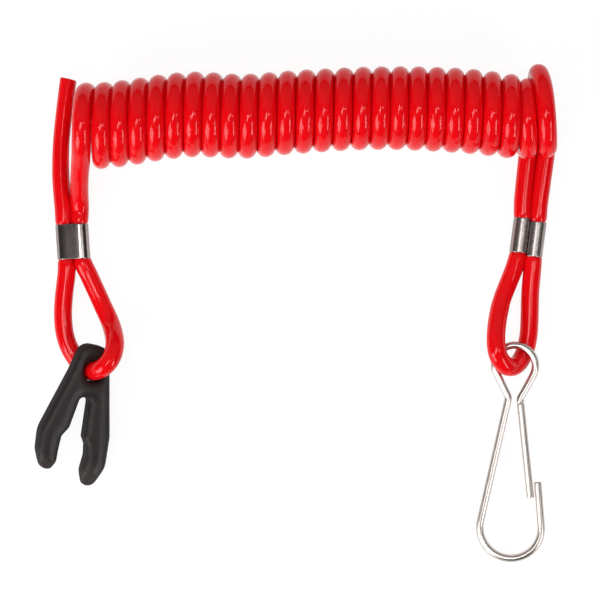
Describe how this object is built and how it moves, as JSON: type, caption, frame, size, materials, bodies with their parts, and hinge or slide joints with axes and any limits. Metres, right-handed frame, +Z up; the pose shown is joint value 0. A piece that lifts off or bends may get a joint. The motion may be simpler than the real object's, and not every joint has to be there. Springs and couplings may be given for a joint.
{
  "type": "engine kill switch key with coiled lanyard",
  "caption": "Curly red cord with a two-legged plastic kill switch key looped on one end and a wire snap hook looped on the other, each loop closed by a metal ferrule.",
  "frame": {"origin": "on the surface the part lies on, under the middle of the box around the key and the snap hook", "axes": "+X along the coil from the key's end to the hook's end, +Y from the key towards the coil, +Z up off the surface"},
  "size_m": [0.1425, 0.1354, 0.0226],
  "materials": {
    "red_cord": "glossy",
    "ferrule_metal": "plated",
    "black_plastic": "matte",
    "hook_metal": "plated"
  },
  "bodies": {
    "key_end": {"coil": "red_cord", "cord_key_end": "red_cord", "ferrule_key_end": "ferrule_metal"},
    "key": {"switch_key": "black_plastic"},
    "hook_end": {"cord_hook_end": "red_cord", "ferrule_hook_end": "ferrule_metal"},
    "hook": {"snap_hook": "hook_metal"},
    "gate": {"snap_hook_gate": "hook_metal"}
  },
  "joints": [
    {"name": "coil_stretch", "type": "slide", "parent": "key_end", "child": "hook_end", "axis": [1, 0, 0], "range_m": [0, 0.3], "stiffness_N_per_m": 9, "deforming": ["coil"]},
    {"name": "key_swing", "type": "hinge", "parent": "key_end", "child": "key", "pos_m": [-0.05424, 0.02177, 0.00719], "axis": [0.3488, -0.1171, 0.9299], "range_deg": [-75, 15]},
    {"name": "hook_swing", "type": "hinge", "parent": "hook_end", "child": "hook", "pos_m": [0.06166, 0.02347, 0.00546], "axis": [-0.1736, -0.0601, 0.983], "range_deg": [-10, 35]},
    {"name": "gate_flex", "type": "hinge", "parent": "hook", "child": "gate", "pos_m": [0.06309, 0.01447, 0.00516], "axis": [0.1736, 0.0601, -0.983], "range_deg": [0, 14], "stiffness_Nm_per_rad": 0.05, "springref_deg": -2.86}
  ]
}
